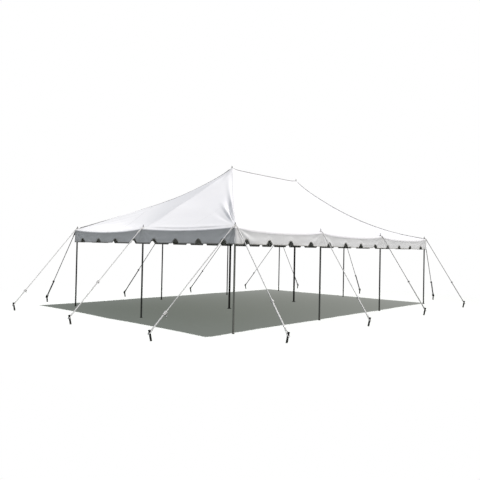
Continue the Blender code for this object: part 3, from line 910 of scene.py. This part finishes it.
CENTRE_TUBE = 0.0285
SLEEVE = 0.0325
CROWN_ROOM = 0.062  # from the canopy's peak down to the middle of the crown plate
for node, pin in POLES.items():
    if not node.startswith("centre"):
        continue
    crown = frame_height(pin.x, pin.y) - CROWN_ROOM
    profile = [(0.001, 0.0), (0.064, 0.0), (0.065, 0.001), (0.065, 0.006), (0.062, 0.008),
               (0.032, 0.009), (0.030, 0.022),
               (CENTRE_TUBE, 0.026), (CENTRE_TUBE, 1.80), (SLEEVE, 1.803), (SLEEVE, 2.097),
               (CENTRE_TUBE, 2.10), (CENTRE_TUBE, crown - 0.03),
               (0.034, crown - 0.012), (0.060, crown - 0.006), (0.0640, crown - 0.002),
               (0.0600, crown + 0.002), (0.030, crown + 0.012), (0.0125, crown + 0.030),
               (0.010, crown + 0.050), (0.010, pin.z - 0.012), (0.0085, pin.z - 0.005),
               (0.0045, pin.z - 0.001), (0.0006, pin.z)]
    foot = Vector((pin.x, pin.y, 0.0))
    mast = turned_piece("dark_" + node, profile, 32, foot, dark_steel)
    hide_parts(node)

# The stakes are black forged iron bars with an upset head, driven in at a slant, head away from the
# tent. Only the part above the ground is made.

iron, shader, place, _, _, z = material_of("black_forged_iron", {"Specular IOR Level": 0.15})
scale = mottle(place, 90.0, 6.0)
rust = (z.step(0.10, 0.0) * 0.6 + 0.2) * mottle(place, 35.0, 5.0).step(0.50, 0.68)
colour = scale.blend((0.007, 0.007, 0.007), (0.022, 0.021, 0.020))
colour = rust.blend(colour, (0.040, 0.024, 0.015))
feed(shader, {"Base Color": colour, "Roughness": 0.55 + rust * 0.3,
              "Normal": relief(scale * 0.0016)})

STAKE_LEAN = radians(11.0)
STAKE_RADIUS = 0.0200
STAKE_HEIGHT = 0.205
# Name, pole, side that the rope pulls to, the stake's reach and drift, the eye's level on the pin,
# the knot's share of the way up the rope, and the length of its loose end
GUYS = (
    ("corner_front_left_end", "corner_pole_front_left", "left", 1.71, 0.43, 0, 0.17, 0.09),
    ("corner_front_left", "corner_pole_front_left", "front", 1.33, 0.02, 1, 0.30, 0.04),
    ("front_left", "side_pole_front_left", "front", 1.29, 0.06, 0, 0.25, 0.02),
    ("front_right", "side_pole_front_right", "front", 1.28, 0.07, 0, 0.38, 0.02),
    ("corner_front_right", "corner_pole_front_right", "front", 1.27, 0.0, 1, 0.32, 0.01),
    ("corner_front_right_end", "corner_pole_front_right", "right", 1.72, 0.38, 0, 0.26, 0.02),
    ("end_right", "end_pole_right", "right", 1.70, 0.29, 0, 0.30, 0.01),
    ("corner_back_right_end", "corner_pole_back_right", "right", 1.72, 0.31, 0, 0.24, 0.01),
    ("corner_back_right", "corner_pole_back_right", "back", 1.47, -0.38, 1, 0.28, 0.01),
    ("back_right", "side_pole_back_right", "back", 1.47, -0.45, 0, 0.35, 0.01),
    ("back_left", "side_pole_back_left", "back", 1.47, -0.38, 0, 0.40, 0.01),
    ("corner_back_left", "corner_pole_back_left", "back", 1.47, -0.09, 1, 0.25, 0.01),
    ("corner_back_left_end", "corner_pole_back_left", "left", 1.68, 0.06, 0, 0.18, 0.06),
    ("end_left", "end_pole_left", "left", 1.79, 0.09, 0, 0.38, 0.05),
)
OUT_OF = {name: ways_of(turn)[0] for name, turn, _, _ in SIDES}


def guy_lines(pole, side, reach, drift):
    """Pin, foot of the stake, level way of the rope, and the stake's axis."""
    out = OUT_OF[side]
    pin = Vector((POLES[pole].x, POLES[pole].y, 0.0))
    foot = pin + out * reach + Vector((abs(out.y), abs(out.x), 0.0)) * drift
    heading = (foot - pin).normalized()
    return pin, foot, heading, leaned(heading, STAKE_LEAN)


for name, pole, side, reach, drift, *_ in GUYS:
    _, foot, _, axis = guy_lines(pole, side, reach, drift)
    length = STAKE_HEIGHT / axis.z
    profile = [(0.001, -0.002), (STAKE_RADIUS, 0.0), (STAKE_RADIUS, 0.06), (0.0203, 0.11),
               (STAKE_RADIUS, 0.15), (STAKE_RADIUS, length - 0.020), (0.0215, length - 0.0155),
               (0.0250, length - 0.012), (0.0265, length - 0.0085), (0.0258, length - 0.004),
               (0.0200, length - 0.001), (0.0095, length), (0.0006, length + 0.0004)]
    stake = turned_piece("forged_stake_" + name, profile, 24, foot, iron, lean=axis)
    # What leans below the ground is drawn up to it along the bar
    for vertex in stake.data.vertices:
        level_off = -min(vertex.co.z, 0.0) if vertex.co.z < 0.004 else 0.0
        vertex.co += axis * (level_off / axis.z)
    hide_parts("stake_" + name)

# The guy ropes are white three-strand polyester. Each has an eye, spliced below the eave, over a
# pole's pin, runs taut to its stake, round it, and back up to a knot of round turns. The ropes of the
# back and the right end are painted dark and two at the front grey, as painted shade on white rope.

ROPE_RADIUS = 0.0098
ROPE_LAY = 0.070  # length of one turn of the strands
ROPE_STEP = 0.0060
ROPE_SIDES = 12
EYE_RADIUS = 0.0178  # middle of the rope's eye round a pin
EYE_LIFT = 0.0145  # of the lower eye above the sheet
EYE_STACK = 0.0190  # of the upper eye above the lower one
EDGE_ROOM = 0.0012  # between a rope and the round of the eave
EYE_STRANDS = 0.0093  # of the eye's two strands from its middle, at the splice
EYE_SPREAD = 0.004  # more, over the eave
HITCH_HEIGHT = 0.155  # where the rope goes round its stake
HITCH_ROOM = 0.0004
HITCH_STRANDS = 0.0105  # the same for the two strands above the stake
KNOT_RADIUS = 0.0212
KNOT_PITCH = 0.0192


def rope_material(name, low, high, dirt):
    """Laid rope between two tones, with soil where it nears the ground."""
    constants = {"Specular IOR Level": 0.3, "Sheen Weight": 0.1}
    material, shader, place, _, _, z = material_of(name, constants)
    fuzz = mottle(place, 220.0, 4.0)
    soil = z.step(0.30, 0.03) * mottle(place, 14.0, 4.0).step(0.45, 0.70)
    colour = (soil * dirt).blend(fuzz.blend(low, high), (0.33, 0.31, 0.25))
    feed(shader, {"Base Color": colour, "Roughness": 0.72 + fuzz * 0.15,
                  "Normal": relief(fuzz * 0.0006)})
    return material


fresh_rope = rope_material("white_laid_rope", (0.68, 0.68, 0.67),
                           (0.79, 0.79, 0.78), 0.15)
# Painted shade: darker copies of the same white rope, standing in for the shade on their seen sides
grey_painted_shade_rope = rope_material("grey_painted_shade_laid_rope", (0.34, 0.34, 0.33),
                            (0.44, 0.44, 0.43), 0.3)
dark_painted_shade_rope = rope_material("dark_painted_shade_laid_rope", (0.060, 0.060, 0.055),
                               (0.095, 0.095, 0.088), 0.1)


def evenly(path, step):
    """The points of a path, set at equal steps."""
    points = [path[0]]
    ahead = step
    for first, last in zip(path, path[1:]):
        length = (last - first).length
        while ahead <= length:
            points.append(first.lerp(last, ahead / length))
            ahead += step
        ahead -= length
    points.append(path[-1])
    return points


def laid_rope(path):
    """Points and faces of a three-strand rope along a path."""
    line = evenly(path, ROPE_STEP)
    rings = []
    side = None
    for index, point in enumerate(line):
        ahead = (line[min(index + 1, len(line) - 1)] - line[max(index - 1, 0)]).normalized()
        side = ahead.orthogonal() if side is None else side - ahead * side.dot(ahead)
        side.normalize()
        other = ahead.cross(side)
        twist = tau * index * ROPE_STEP / ROPE_LAY
        ring = []
        for corner in range(ROPE_SIDES):
            angle = tau * corner / ROPE_SIDES
            radius = ROPE_RADIUS * (0.98 + 0.12 * cos(3.0 * angle))
            if index in (0, len(line) - 1):
                radius *= 0.5
            turned = angle + twist
            ring.append(point + radius * (side * cos(turned) + other * sin(turned)))
        rings.append(ring)
    return capped_skin(rings)


def coil(start, way, side, radius, turns, pitch):
    """Round turns of rope about a line."""
    other = way.cross(side)
    points = []
    for step in range(round(turns * 18) + 1):
        angle = tau * step / 18
        spoke = side * cos(angle) + other * sin(angle)
        points.append(start + way * (pitch * step / 18) + radius * spoke)
    return points


def hanging_end(start, way, length):
    """A short loose end that sets off one way and droops."""
    points = []
    for step in range(1, 9):
        share = step / 8
        reach = length * share * (1.0 - 0.35 * share)
        points.append(start + way * reach - UP * (1.3 * length * share ** 1.7))
    return points


# The ropes' thin shadows don't show on the cloth, so they don't hold the sun back
ropes = bpy.data.collections.new("ropes_out_of_the_sun")
for index, (name, pole, side, reach, drift, level, share, tail) in enumerate(GUYS):
    out = OUT_OF[side]
    pin, foot, heading, axis = guy_lines(pole, side, reach, drift)
    across = UP.cross(heading)
    hitch = foot + axis * (HITCH_HEIGHT / axis.z)

    # The rope bends over the round of the eave, which it crosses at a skew
    centre, radius, angle = eave_bend(pin + out * OVERHANG, out)
    over = radius + ROPE_RADIUS + EDGE_ROOM
    skew = 1.0 / heading.dot(out)
    edge = pin + heading * (OVERHANG * skew)
    steep = atan2(EAVE_HEIGHT - hitch.z, (hitch - edge).xy.length)
    middle = pin + heading * ((centre - pin).dot(out) * skew)
    middle.z = centre.z
    bends = []
    for step in range(7):
        turned = angle + (steep - angle) * step / 6
        bends.append(middle + heading * (over * skew * sin(turned))
                     + UP * (over * cos(turned)))
    pull = (hitch - bends[-1]).normalized()

    # The eye, from its spliced end up over the eave, round the pin and down again
    eye = Vector((pin.x, pin.y, sheet_height(pin.x, pin.y) + EYE_LIFT + level * EYE_STACK))
    splice = bends[-1] + pull * (0.13 + 0.05 * ((index * 37) % 5) / 4)
    spread = across * (EYE_STRANDS + EYE_SPREAD)
    path = [splice + pull * 0.110 + across * 0.002, splice + pull * 0.050 + across * 0.0055,
            splice - pull * 0.010 + across * EYE_STRANDS]
    path += [bend + spread for bend in reversed(bends)]
    path += [eye + EYE_RADIUS * (across * cos(turn) - heading * sin(turn))
             for turn in (pi * step / 10 for step in range(11))]
    path += [bend - spread for bend in bends]
    path += [splice - across * EYE_STRANDS, splice + pull * 0.062]

    # On down past the knot, round the stake, and back up to the knot and its loose end
    knot = hitch + (bends[-1] - hitch) * share
    wrap_across = STAKE_RADIUS + ROPE_RADIUS + HITCH_ROOM
    wrap_along = wrap_across / pull.cross(axis).length
    path += [knot - pull * 0.04, knot + pull * 0.05 + across * 0.005,
             hitch - pull * 0.14 + across * HITCH_STRANDS]
    path += [hitch - across * (wrap_across * sin(turn)) + pull * (wrap_along * cos(turn))
             for turn in (pi * step / 14 - 0.5 * pi for step in range(15))]
    path += [hitch - pull * 0.14 - across * HITCH_STRANDS, knot + pull * 0.060 - across * 0.0170]
    turns = 1.0 + 30.0 * tail
    path += coil(knot + pull * 0.038, -pull, -across, KNOT_RADIUS, turns, KNOT_PITCH)
    end_way = (-across + heading * 0.4 * sin(2.1 * index) - pull * 0.3).normalized()
    path += hanging_end(path[-1], end_way, tail)

    points, faces = laid_rope(path)
    # Painted shade: back and right-end ropes take the dark copy, the two front right ones the grey
    # copy
    polyester = fresh_rope if side == "left" or pole.endswith("front_left") else dark_painted_shade_rope
    if side == "front" and pole.endswith("front_right"):
        polyester = grey_painted_shade_rope
    guy = add_piece("laid_guy_rope_" + name, points, faces, polyester)
    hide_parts("guy_rope_" + name)
    ropes.objects.link(guy)
    ropes.collection_objects[index].light_linking.link_state = "EXCLUDE"
sun.light_linking.blocker_collection = ropes
